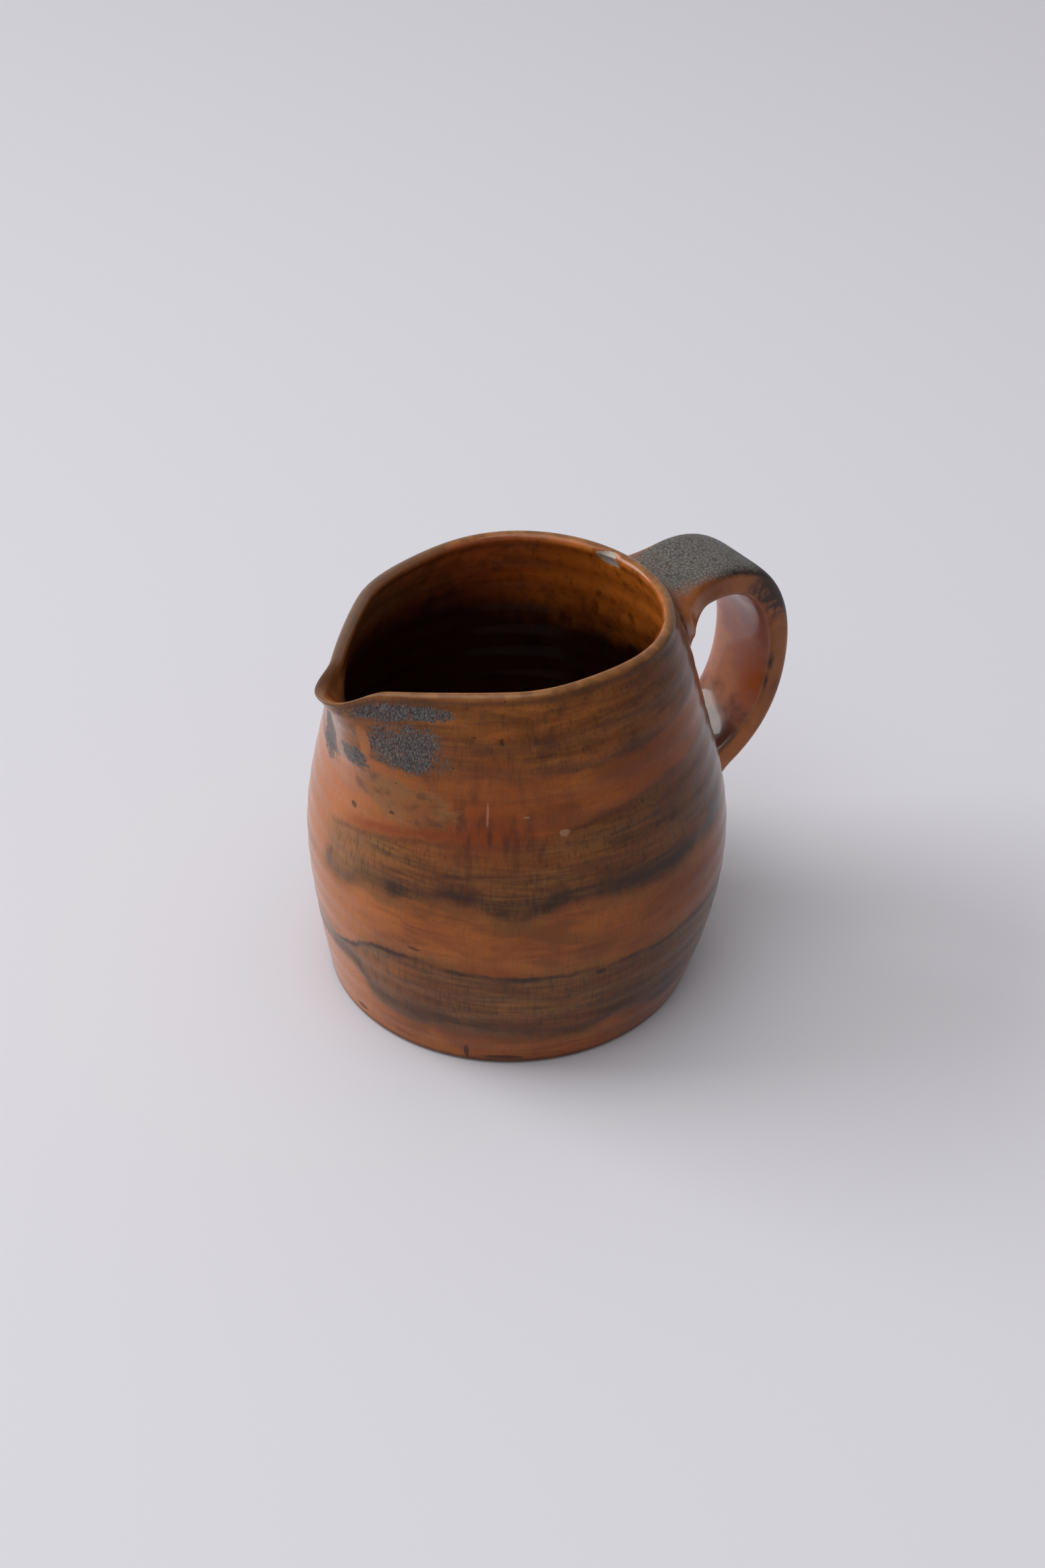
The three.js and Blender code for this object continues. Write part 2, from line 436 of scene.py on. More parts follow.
WADS = {
    "Upper Over": 1.5,
    "Upper Under": 7.5,
    "Upper Side": 5,
    "Lower Over": 4,
    "Lower Under": 6,
    "Lower Side": 4,
}

# Throwing rings: the run of the wave in each millimetre of height
OUTER_RINGS = 0.83
INNER_RINGS = 0.62

# Waves round the pot: how many, shift and size
RING_WANDER = [(1, 0, 0.9), (2, 1, 0.5)]
LIP_WAVES = [(2, 0.6, 0.6), (3, -0.9, 0.4)]
LIP_WAVER_DEPTH = 30  # the lip's waver fades out this far below it


def throw_rule(material):
    """Spins the body's profile round the axis, pulls the spout out of it and chips the lip."""
    tree, profile, size = new_rule("throw_body", [*SPOUT, *THROWING, "Lip Length"])
    position = add_node(tree, "GeometryNodeInputPosition").outputs[0]
    radius, _, level = parts_of(tree, position)
    run = Field(add_node(tree, "GeometryNodeSplineParameter").outputs["Length"])
    profile, flat_radius = capture(tree, profile, "FLOAT", radius)
    profile, height = capture(tree, profile, "FLOAT", level)
    profile, outer = capture(tree, profile, "FLOAT", add_node(tree, "GeometryNodeInputRadius").outputs[0])
    profile, lip_side = capture(tree, profile, "FLOAT", size["Lip Length"] - run)
    circle, even = ring_around(tree, AROUND_STEPS)
    z, outer, lip_side = Field(height), Field(outer), Field(lip_side)

    from_tip = even + size["Ring Crowding"] * even.math("SINE") - math.pi
    angle = from_tip + math.pi + size["Spout Turn"]
    stretch, pulled = spout_stretch(from_tip, z, size)
    depth = (outer - Field(flat_radius)) * (1 - size["Beak Thinning"] * pulled)
    high_side = (angle - RIM_HIGH_SIDE).math("COSINE")
    tilt = RIM_TILT / 2 * (1 - high_side) * clamp01((z - HEIGHT + RIM_TILT_DEPTH) / RIM_TILT_DEPTH)
    inside = ramp(lip_side, -1, 1)
    above_floor = ramp(z, FLOOR_THICKNESS + 4, FLOOR_THICKNESS + 16)
    wander = waves(angle, RING_WANDER)
    outer_ripple = size["Outer Ripple"] * ((z * OUTER_RINGS + wander).math("SINE") - 1) * (1 - inside)
    inner_ripple = size["Inner Ripple"] * (z * INNER_RINGS + wander).math("SINE") * inside * above_floor
    away = outer * stretch - depth + (outer_ripple + inner_ripple) * ramp(z, 0, 8)
    centre_x, centre_y = centre_at(z)
    near_lip = ramp(z, HEIGHT - LIP_WAVER_DEPTH, HEIGHT)
    waver = size["Lip Waver"] / 2 * (waves(angle, LIP_WAVES) - 1) * near_lip
    place = vector(
        tree,
        (centre_x + away * angle.math("COSINE")) * MM,
        (centre_y + away * angle.math("SINE")) * MM,
        (z - size["Beak Dip"] * pulled - tilt + waver) * MM,
    )
    mesh = move_to(tree, swept(tree, circle, profile), position=place)
    mesh = keep_as(tree, mesh, "lip_side", lip_side)

    flake_x = (angle - size["Chip Angle"]) * MOUTH_RADIUS / size["Chip Width"]
    flake_y = (lip_side - size["Chip Drop"]) / (size["Chip Height"] - flake_x * size["Chip Slant"])
    crumbs = add_node(tree, "ShaderNodeTexNoise", {"Vector": position, "Scale": 420, "Detail": 2.0})
    ragged = Field(crumbs.outputs[0]) * 0.7 - 0.35
    chip = ramp((flake_x**2 + flake_y**2) ** 0.5 + ragged, 1.05, 0.8) * ramp(flake_y.math("ABSOLUTE"), 3, 2)
    mesh = keep_as(tree, mesh, "chip", chip)
    normal = add_node(tree, "GeometryNodeInputNormal").outputs[0]
    mesh = move_to(tree, mesh, offset=scaled(tree, normal, -MM * size["Chip Depth"] * chip))
    finish_rule(tree, mesh, material)
    return tree


def strap_rule(body, material):
    """Sweeps the strap's section along the handle's line, spreads its ends and welds them to the wall."""
    tree, path, size = new_rule("pull_strap", [*STRAP, *WADS, "Handle Length", "Start", "End"])
    spaced = add_node(tree, "GeometryNodeResampleCurve", {"Curve": path}, mode="LENGTH")
    feed(spaced.inputs["Length"], STRAP_SPACING)
    position = add_node(tree, "GeometryNodeInputPosition").outputs[0]
    tangent = add_node(tree, "GeometryNodeInputTangent").outputs[0]
    run = add_node(tree, "GeometryNodeSplineParameter").outputs["Length"]
    path, centre = capture(tree, spaced.outputs[0], "VECTOR", position)
    path, tangent = capture(tree, path, "VECTOR", tangent)
    path, along = capture(tree, path, "FLOAT", run)
    ring, angle = ring_around(tree, SECTION_STEPS)
    along = Field(along)

    from_end = size["Handle Length"] - along
    spread_upper = clamp01(1 - (along - WAD_INSET).math("MAXIMUM", 0) / WAD_LENGTH) ** 2
    spread_lower = clamp01(1 - (from_end - WAD_INSET).math("MAXIMUM", 0) / WAD_LENGTH) ** 2

    def with_wads(plain, upper, lower):
        return plain + spread_upper * size[upper] + spread_lower * size[lower]

    width = size["Width"] + (size["Foot Width"] - size["Width"]) * along / size["Handle Length"]
    half_width = with_wads(width / 2, "Upper Side", "Lower Side")
    over = with_wads(size["Thickness"] / 2, "Upper Over", "Lower Over")
    under = with_wads(size["Thickness"] / 2, "Upper Under", "Lower Under")
    edge = size["Edge"] + (WAD_EDGE - size["Edge"]) * spread_upper.math("MAXIMUM", spread_lower)
    across, upward = angle.math("COSINE"), angle.math("SINE")
    corner = across.math("ABSOLUTE") ** edge + upward.math("ABSOLUTE") ** edge
    roundness = corner ** (-1 / edge)
    side, lift = across * roundness, upward * roundness
    above = ramp(lift, -0.001, 0.001)
    closing = (clamp01(along / END_CLOSING) * clamp01(from_end / END_CLOSING)) ** 0.5
    reach = lift * (above * over + (1 - above) * under) * closing
    centre_x, _, centre_z = parts_of(tree, centre)
    along_x, _, along_z = parts_of(tree, tangent)
    place = vector(
        tree,
        (centre_x - along_z * reach) * MM,
        side * half_width * closing * MM,
        (centre_z + along_x * reach) * MM,
    )
    mesh = move_to(tree, swept(tree, path, ring), position=place)
    normal = add_node(tree, "GeometryNodeInputNormal").outputs[0]
    off_wall, _ = distance_off_wall(tree, body)
    gap = clamp01(off_wall / WELD_REACH)
    weld = (1 - gap) ** 2
    mesh = move_to(tree, mesh, offset=scaled(tree, normal, weld * (WELD_HEIGHT * MM)))
    off_wall, outward = distance_off_wall(tree, body)
    sunk = (-(off_wall + WAD_SINK)).math("MAXIMUM", 0)
    mesh = move_to(tree, mesh, offset=scaled(tree, outward, sunk * MM))
    for name, value in {"along": along, "side": side, "lift": lift}.items():
        mesh = keep_as(tree, mesh, name, value)
    mesh = keep_as(tree, mesh, "off_wall", distance_off_wall(tree, body)[0])
    mesh = keep_as(tree, mesh, "whole_normal", normal, "FLOAT_VECTOR")
    half_step = STRAP_SPACING / 2
    outside = ramp(along, size["Start"] - half_step, size["Start"] - half_step - 0.001) + ramp(
        along, size["End"] + half_step, size["End"] + half_step + 0.001
    )
    trimmed = add_node(tree, "GeometryNodeDeleteGeometry", {"Geometry": mesh}, domain="POINT")
    feed(trimmed.inputs["Selection"], outside)
    finish_rule(tree, trimmed.outputs[0], material)
    return tree


def distance_off_wall(tree, body):
    """How far a point stands off the body's outer wall, in millimetres, and the level way outward there."""
    x, y, z = parts_of(tree, add_node(tree, "GeometryNodeInputPosition").outputs[0])
    centre_x, centre_y = centre_at(z / MM)
    out_x, out_y = x - centre_x * MM, y - centre_y * MM
    distance = (out_x**2 + out_y**2) ** 0.5 + 1e-6
    outward = vector(tree, out_x / distance, out_y / distance, 0.0)
    far = 0.2  # metres out from the point, past every bulge of the wall
    source = vector(tree, x + out_x / distance * far, y + out_y / distance * far, z)
    inward = scaled(tree, outward, -1)
    wall = add_node(tree, "GeometryNodeObjectInfo", {"Object": body}).outputs["Geometry"]
    ray = add_node(
        tree,
        "GeometryNodeRaycast",
        {"Target Geometry": wall, "Source Position": source, "Ray Direction": inward, "Ray Length": 1.0},
    )
    hit = Field(ray.outputs["Hit Distance"])
    return (hit - far) / MM, outward


def poly_line(name, points):
    """A curve object through (r, z) points, each of which keeps the outer wall's radius at its height."""
    data = bpy.data.curves.new(name, "CURVE")
    data.dimensions = "3D"
    spline = data.splines.new("POLY")
    spline.points.add(len(points) - 1)
    for point, (r, z) in zip(spline.points, points):
        point.co = (r, 0, z, 1)
        point.radius = wall_radius(z)
    return linked(name, data)


def linked(name, data):
    made = bpy.data.objects.new(name, data)
    bpy.context.scene.collection.objects.link(made)
    return made


def grown_mesh(line, rule, sizes, name):
    """Runs a rule on a curve object and returns the plain mesh it makes as an object of its own."""
    modifier = line.modifiers.new(rule.name, "NODES")
    modifier.node_group = rule
    for item in rule.interface.items_tree:
        if item.name in sizes:
            modifier[item.identifier] = float(sizes[item.name])
    line.update_tag()
    depsgraph = bpy.context.evaluated_depsgraph_get()
    mesh = bpy.data.meshes.new_from_object(line.evaluated_get(depsgraph), depsgraph=depsgraph)
    line.modifiers.remove(modifier)
    mesh.name = name
    return linked(name, mesh)


def close_ends(piece):
    """Caps the open ends that lie inside the clay, and turns every face outwards."""
    work = bmesh.new()
    work.from_mesh(piece.data)
    open_edges = [edge for edge in work.edges if edge.is_boundary]
    bmesh.ops.holes_fill(work, edges=open_edges, sides=0)
    bmesh.ops.recalc_face_normals(work, faces=work.faces)
    work.to_mesh(piece.data)
    work.free()


def finish_piece(piece, slot, *nodes):
    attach(piece, "root")
    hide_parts(*nodes)


# ---------------------------------------------------------------------------------------------------------
# Glazes
# ---------------------------------------------------------------------------------------------------------


def mix(tree, amount, under, over):
    """Lays one colour over another by an amount."""
    node = add_node(tree, "ShaderNodeMix", data_type="RGBA")
    feed(node.inputs[0], amount)
    feed(node.inputs[6], under)
    feed(node.inputs[7], over)
    return node.outputs[2]


def blend(amount, under, over):
    """The same for two numbers."""
    return under + (over - under) * amount


def drawn_around(turn, stops):
    """A height in millimetres that follows (degrees round from the front, height) stops."""
    node = add_node(turn.tree, "ShaderNodeFloatCurve")
    points = node.mapping.curves[0].points
    spots = [((degrees + 180) / 360, height / HEIGHT) for degrees, height in stops]
    points[0].location, points[-1].location = spots[0], spots[-1]
    for spot in spots[1:-1]:
        points.new(*spot)
    node.mapping.update()
    feed(node.inputs["Value"], turn / 360 + 0.5)
    return Field(node.outputs[0]) * HEIGHT


class Clay:
    """Coordinates that the glazes share: millimetres, and degrees round from the front."""

    def __init__(self, tree):
        self.tree = tree
        place = add_node(tree, "ShaderNodeTexCoord").outputs["Object"]
        self.place = scaled(tree, place, 1 / MM)
        self.x, self.y, self.z = parts_of(tree, self.place)
        ahead = self.x * math.cos(FRONT) + self.y * math.sin(FRONT)
        aside = self.y * math.cos(FRONT) - self.x * math.sin(FRONT)
        self.turn = aside.math("ARCTAN2", ahead) * (180 / math.pi)

    def patterned(self, size, stretch=(1, 1, 1), shift=0.0):
        """The place counted in a pattern's size, stretched along the axes and shifted off other patterns."""
        moved = add_node(self.tree, "ShaderNodeMapping", {"Vector": self.place}, vector_type="POINT")
        moved.inputs["Scale"].default_value = [1 / (size * factor) for factor in stretch]
        moved.inputs["Location"].default_value = (shift, shift * 0.7, shift * 1.3)
        return moved.outputs[0]

    def noise(self, size, detail=2.0, stretch=(1, 1, 1), shift=0.0, roughness=0.5):
        """Cloudy noise from 0 to 1 whose lumps are about a size across."""
        place = self.patterned(size, stretch, shift)
        inputs = {"Vector": place, "Scale": 1.0, "Detail": detail, "Roughness": roughness}
        return Field(add_node(self.tree, "ShaderNodeTexNoise", inputs).outputs[0])

    def cells(self, size, feature="DISTANCE_TO_EDGE"):
        """How far into a cell of about a size a spot is, or with F1 how far from the cell's own point."""
        inputs = {"Vector": self.patterned(size), "Scale": 1.0}
        return Field(add_node(self.tree, "ShaderNodeTexVoronoi", inputs, feature=feature).outputs["Distance"])

    def spot(self, turn, height, width, tall, ragged=0.0):
        """1 inside an oval of the glaze, in degrees and millimetres, fading out round it."""
        across = (self.turn - turn) / width
        up = (self.z - height) / tall
        return ramp((across**2 + up**2) ** 0.5 + ragged, 1.15, 0.75)

    def towards(self, start, full, wobble=0.0):
        """0 before one turn and 1 past another, fading out again at the back, where the two turns meet."""
        return ramp(self.turn + wobble, start, full) * ramp(self.turn.math("ABSOLUTE"), 172, 115)


def tint(code):
    """A linear colour from a hex code."""
    channels = [int(code[i : i + 2], 16) / 255 for i in (1, 3, 5)]
    linear = [c / 12.92 if c <= 0.04045 else ((c + 0.055) / 1.055) ** 2.4 for c in channels]
    return (*linear, 1)


# The outer glaze's colours
ORANGE_GLAZE = tint("#8b481c")
AMBER_GLAZE = tint("#a15a22")
RUST_GLAZE = tint("#683010")
HONEY_GLAZE = tint("#b36b36")
EMBER_GLAZE = tint("#7c3405")
SCORCHED_GLAZE = tint("#6a3a17")
# Painted light on the orange glaze where the window lights the side towards the spout
SUNLIT_GLAZE = tint("#b87040")
# Painted light on the olive bands where the window lights the side towards the spout
SUNLIT_OLIVE = tint("#9a7148")
PALE_OLIVE = tint("#7c5123")
DEEP_OLIVE = tint("#573518")
OCHRE_PUDDLE = tint("#855c35")
BURNT_EDGE = tint("#2a1812")
SLATE = tint("#23292f")
ASH = tint("#65686a")
PALE_CRYSTAL = tint("#a2a6a6")
SOOT = tint("#17110f")
FOOT_LINE = tint("#3a1a10")
PALE_SCRATCH = tint("#c9a88c")

# The inside's colours
INNER_AMBER = tint("#a04e22")
INNER_HONEY = tint("#bc6430")
INNER_RUST = tint("#5c2810")
# Painted light: the inner wall lit gold on the handle side
INNER_PAINTED_LIGHT = tint("#c86e24")
INNER_OLIVE = tint("#6e5234")
# Darker towards the bottom of the inside, reaching higher away from the handle as painted shade
LOW_WALL_DARK = tint("#351a12")
POOL_MOTTLE = tint("#26110b")
DARK_FLECK = tint("#1c0d08")

# The lip's colours, and the clay's where it is bare
LIP_BROWN = tint("#6e4520")
LIP_OCHRE = tint("#8a5b2c")
LIP_SLATE = tint("#4b3f35")
LIP_SHADE = tint("#33241b")
GREY_CLAY = tint("#8c8076")
PALE_CLAY = tint("#c9bfb4")
BROWN_CLAY = tint("#8f7662")
BUFF_CLAY = tint("#b39a82")

# The handle's colours
STRAP_ORANGE = tint("#84491f")
STRAP_AMBER = tint("#9b5a2c")
STRAP_RUST = tint("#69351a")
STRAP_HONEY = tint("#b0652f")
STRAP_BROWN = tint("#5a3a26")
# The inner face's plum: red-brown glaze with a painted pink sheen
PLUM_WITH_SHEEN = tint("#a06658")
PALE_PLUM_SHEEN = tint("#b57659")
EMBER_PLUM = tint("#a04f1c")
DEEP_PLUM = tint("#41231b")
ASH_CRACK = tint("#3d3a37")
ASH_SCALE = tint("#625f5b")
OLIVE_ASH = tint("#5b5348")
WARM_ASH = tint("#5d5751")
STRAP_SOOT = tint("#1d1613")
STRAP_GRAIN = tint("#24150d")

PALE_PAPER = tint("#cecdd4")

# Edges of the poured bands: degrees round from the front, and the height there
RIM_BAND_FOOT = [
    (-180, 108), (-140, 105), (-110, 100), (-80, 92), (-62, 96), (-50, 100), (-42, 105), (-30, 104.5),
    (-18, 103), (0, 105.5), (20, 105), (45, 105.5), (70, 108), (110, 111), (150, 110), (180, 108),
]
MIDDLE_BAND_TOP = [
    (-180, 90), (-140, 86), (-90, 78), (-60, 74), (-48, 77), (-38, 80), (-20, 83.5), (0, 87.5),
    (20, 89), (45, 93), (70, 94.5), (110, 96), (150, 93), (180, 90),
]
MIDDLE_BAND_FOOT = [
    (-180, 63), (-140, 60), (-90, 56), (-60, 58), (-51, 57), (-44, 61.5), (-28, 63), (-12, 66.5),
    (0, 62), (8, 64), (17, 67), (38, 65.5), (60, 66.5), (100, 67), (140, 65), (180, 63),
]
LOW_BAND_TOP = [
    (-180, 40), (-140, 37), (-90, 32), (-62, 31), (-50, 34), (-40, 40.5), (-26, 42), (0, 41.5),
    (25, 41), (40, 42), (70, 42.5), (110, 43), (150, 42), (180, 40),
]
LOW_BAND_FOOT = [
    (-180, 17), (-140, 18), (-90, 21), (-60, 25), (-50, 25), (-42, 16), (-32, 14), (-18, 16.5),
    (-4, 16), (6, 13.5), (22, 13), (32, 16.5), (48, 13), (75, 16), (120, 15), (180, 17),
]

# Single spots of the glaze: turn, height, width, tall
CRYSTAL_PATCHES = [
    (-31, 111.5, 12, 7.5), (-36.5, 122.6, 8.5, 3.0), (-48, 103, 6, 4.5), (-26, 122.8, 8, 2.2),
    (-68, 98, 8, 8),
]
PUDDLE_SPOT = (-34, 94, 19, 7)
HONEY_RUN = (-42.5, 111, 1.7, 6.5)
PALE_SCRATCHES = [(-6, 94.5, 0.35, 3.2), (5, 94, 0.9, 0.35), (-57, 97, 0.5, 2.5), (15.5, 88.3, 1.6, 1)]
BLACK_MARKS = [
    (-50, 84, 1.3, 1.1), (-26, 46.3, 2.2, 0.6), (-13, 5, 0.8, 3), (-2, 3.4, 6, 0.9), (24, 39.5, 1.6, 1),
    (-2, 116, 0.7, 1.3), (-51, 4.8, 2.5, 0.8), (-35, 88.5, 0.9, 0.5),
]


class Bands:
    """The poured bands of the outer glaze: the noises that ruffle them, their edges, and where each lies."""

    def __init__(self, clay):
        self.drift = clay.noise(24, 3, (1, 1, 0.55)) - 0.5
        self.flutter = clay.noise(4.5, 4, (1, 1, 0.7), 7) - 0.5
        fine_flutter = clay.noise(1.6, 3, (1, 1, 1.5), 9) - 0.5
        self.level = clay.z + self.drift * 4.2 + self.flutter * 2.2 + fine_flutter * 0.9
        self.streaks = clay.noise(0.8, 3, (1, 1, 12), 3)
        self.wide_streaks = clay.noise(2.6, 3, (1, 1, 7), 13)
        self.layers = clay.noise(8, 4, (3, 3, 0.36), 11)
        self.fine_layers = clay.noise(4, 4, (3.4, 3.4, 0.3), 17)
        self.clouds = clay.noise(20, 3, (1, 1, 0.6), 21)
        self.thin = clay.noise(17, 2, (1.3, 1.3, 0.6), 23)

        self.rim_foot = drawn_around(clay.turn, RIM_BAND_FOOT)
        self.middle_top = drawn_around(clay.turn, MIDDLE_BAND_TOP)
        self.middle_foot = drawn_around(clay.turn, MIDDLE_BAND_FOOT)
        self.low_top = drawn_around(clay.turn, LOW_BAND_TOP)
        self.low_foot = drawn_around(clay.turn, LOW_BAND_FOOT)

        level, soft = self.level, 0.7 + ramp(self.thin, 0.4, 0.7) * 2.6
        self.rim_soft = 2 + hill(clay.turn, -6, 15) * 7
        self.rim = ramp(level, self.rim_foot - self.rim_soft, self.rim_foot + self.rim_soft)
        ruffled_turn = clay.turn + self.drift * 22
        self.gap_beside_spout = ramp(ruffled_turn, -59, -65) * ramp(ruffled_turn, -112, -104)
        middle = ramp(level, self.middle_top + soft, self.middle_top - soft - 1)
        middle = middle * ramp(level, self.middle_foot - soft, self.middle_foot + soft)
        middle = middle * (1 - self.gap_beside_spout * 0.85)
        low = between(level, self.low_foot, self.low_top, soft)
        thickness = 0.7 + ramp(self.layers, 0.38, 0.62) * 0.25 - ramp(self.clouds, 0.5, 0.72) * 0.3
        rim_shown = self.rim * (0.6 + clay.towards(0, 40) * 0.28)
        self.strength = highest(rim_shown, middle, low) * thickness


def orange_ground(clay, bands):
    """The glaze between the bands: orange-brown in clouds and layers, with painted light making it paler
    towards the spout.
    """
    tree = clay.tree
    orange = mix(tree, ramp(bands.clouds, 0.35, 0.65), ORANGE_GLAZE, AMBER_GLAZE)
    orange = mix(tree, ramp(bands.layers, 0.52, 0.72) * 0.5, orange, RUST_GLAZE)
    orange = mix(tree, ramp(bands.fine_layers, 0.45, 0.25) * 0.35, orange, HONEY_GLAZE)
    burnt = clay.noise(13, 4, (1.6, 1.6, 0.6), 29)
    orange = mix(tree, ramp(burnt, 0.46, 0.64) * 0.68, orange, SCORCHED_GLAZE)
    orange = mix(tree, clay.towards(5, 50, bands.drift * 30) * 0.6, orange, RUST_GLAZE)
    # Painted light: the side towards the spout is lit paler by the window
    return mix(tree, clay.towards(-24, -58, bands.drift * 20) * 0.75, orange, SUNLIT_GLAZE)


def olive_band(clay, bands):
    """The glaze of the bands: olive in fine layers with dark streaks, and painted light making it paler
    towards the spout.
    """
    tree = clay.tree
    olive = mix(tree, ramp(bands.fine_layers, 0.35, 0.65), PALE_OLIVE, DEEP_OLIVE)
    olive = mix(tree, ramp(bands.thin, 0.45, 0.7) * 0.5, olive, RUST_GLAZE)
    olive = mix(tree, clay.towards(5, 50, bands.drift * 30) * 0.45, olive, BURNT_EDGE)
    olive = mix(tree, ramp(bands.wide_streaks, 0.5, 0.75) * 0.35, olive, BURNT_EDGE)
    # Painted light: the bands are lit paler towards the spout by the window
    return mix(tree, clay.towards(-26, -60) * 0.55, olive, SUNLIT_OLIVE)


def pooled_edges(clay, bands, colour):
    """A pale fringe beside the bands, dark streaks in them, and glaze pooled dark along their edges."""
    tree, level = clay.tree, bands.level
    fringe = highest(
        hill(level, bands.middle_foot - 1.5, 2.6),
        hill(level, bands.low_top + 1.5, 2),
        hill(level, bands.low_foot - 1, 2),
    )
    colour = mix(tree, fringe * ramp(bands.clouds, 0.35, 0.6) * 0.5, colour, PALE_OLIVE)
    colour = mix(tree, ramp(bands.streaks, 0.46, 0.74) * (0.14 + bands.strength * 0.42), colour, BURNT_EDGE)
    off_gap = 1 - bands.gap_beside_spout
    pooled = highest(
        hill(level, bands.middle_foot + 2.6, 2.6 + bands.wide_streaks * 2) * off_gap,
        hill(level, bands.low_foot + 3, 3.4) * 0.8,
        hill(level, bands.low_foot + 9, 4) * clay.towards(10, 24) * 0.5,
        hill(level, bands.low_top - 0.7, 1.0),
        hill(level, bands.rim_foot + 0.6, 1.3) * 0.6 * ramp(bands.rim_soft, 6, 3),
        hill(level, bands.middle_top - 0.4, 1.0) * 0.55 * off_gap,
        hill(level, bands.middle_top - 10, 1.2) * hill(clay.turn, -18, 16) * 0.8,
    )
    blot = 0.45 + ramp(clay.noise(11, 3, shift=25), 0.35, 0.62) * 0.55
    return mix(tree, pooled * blot * 0.85, colour, BURNT_EDGE)


def embers(clay, bands, colour):
    """Dark clouds in the rim band, and red-brown embers below it at the front."""
    tree, level = clay.tree, bands.level
    brooding = bands.rim * ramp(clay.noise(9, 4, (1.2, 1.2, 0.7), 27), 0.5, 0.66) * clay.towards(-30, 0)
    colour = mix(tree, brooding * 0.38, colour, BURNT_EDGE)
    in_front = ramp(clay.turn, 30, -5) * ramp(clay.turn, -60, -40)
    colour = mix(tree, hill(level, bands.middle_top + 2.4, 1.8) * in_front * 0.7, colour, EMBER_GLAZE)
    ember = hill(clay.turn, -6, 16) * hill(level, 91, 13)
    colour = mix(tree, ember * 0.85, colour, EMBER_GLAZE)
    return mix(tree, ember * ramp(bands.wide_streaks, 0.42, 0.7) * 0.6, colour, BURNT_EDGE)


def spout_spots(clay, bands, fray, colour):
    """Crystals, an ochre puddle and a honey run beside the spout. Colour, crystals and their needles."""
    tree = clay.tree
    crystals = highest(*[clay.spot(*patch, ragged=fray) for patch in CRYSTAL_PATCHES])
    needles = clay.noise(0.42, 3, (1, 1, 2.2), 41, 0.7)
    crystal_colour = mix(tree, ramp(needles, 0.4, 0.62), SLATE, ASH)
    crystal_colour = mix(tree, ramp(needles, 0.58, 0.74) * 0.65, crystal_colour, PALE_CRYSTAL)
    crystal_colour = mix(tree, ramp(clay.noise(4, 3, shift=51), 0.5, 0.7) * 0.4, crystal_colour, PALE_OLIVE)
    colour = mix(tree, crystals * 0.85, colour, crystal_colour)
    mottles = clay.noise(6, 4, (1.2, 1.2, 0.8), 35)
    puddle = clay.spot(*PUDDLE_SPOT, ragged=fray * 0.8 + bands.drift * 1.6)
    colour = mix(tree, puddle * (0.35 + ramp(bands.clouds, 0.4, 0.6) * 0.4), colour, OCHRE_PUDDLE)
    colour = mix(tree, puddle * ramp(mottles, 0.5, 0.68) * 0.45, colour, BURNT_EDGE)
    colour = mix(tree, clay.spot(*HONEY_RUN, ragged=fray * 0.5) * 0.85, colour, HONEY_GLAZE)
    return colour, crystals, needles


def banded_glaze(clay):
    """The outside: orange-brown glaze with grey-brown bands poured round it. Colour, roughness, height."""
    tree = clay.tree
    bands = Bands(clay)
    grain = clay.noise(0.5, 2, (1, 1, 1.8), 5)
    fray = (clay.noise(3.4, 4, (1, 1, 1.3), 31) - 0.5) * 1.1 + (clay.noise(0.9, 3, shift=33) - 0.5) * 1.3
    colour = mix(tree, bands.strength, orange_ground(clay, bands), olive_band(clay, bands))
    colour = pooled_edges(clay, bands, colour)
    colour = embers(clay, bands, colour)
    colour, crystals, needles = spout_spots(clay, bands, fray, colour)

    marks = highest(*[clay.spot(*mark, ragged=fray * 0.9) for mark in BLACK_MARKS])
    colour = mix(tree, marks * 0.7, colour, SOOT)
    pinholes = ramp(clay.cells(4.2, "F1"), 0.085, 0.05) * ramp(clay.noise(15, 1, shift=61), 0.5, 0.6)
    colour = mix(tree, pinholes * 0.8, colour, SOOT)
    foot = ramp(clay.z + bands.flutter * 1.5, 3.2, 1.2)
    colour = mix(tree, foot * 0.7, colour, FOOT_LINE)
    colour = mix(tree, (grain - 0.5).math("ABSOLUTE") * 0.9, colour, BURNT_EDGE)
    scratches = highest(*[clay.spot(*mark, ragged=fray * 0.8) for mark in PALE_SCRATCHES])
    colour = mix(tree, scratches * 0.26, colour, PALE_SCRATCH)

    rough = 0.22 + crystals * 0.3 + bands.strength * 0.06 + (grain - 0.5) * 0.12 + marks * 0.2
    height = bands.drift * 0.5 + bands.streaks * 0.05 + grain * 0.03
    return colour, rough, height + crystals * needles * 0.2 - pinholes * 0.25


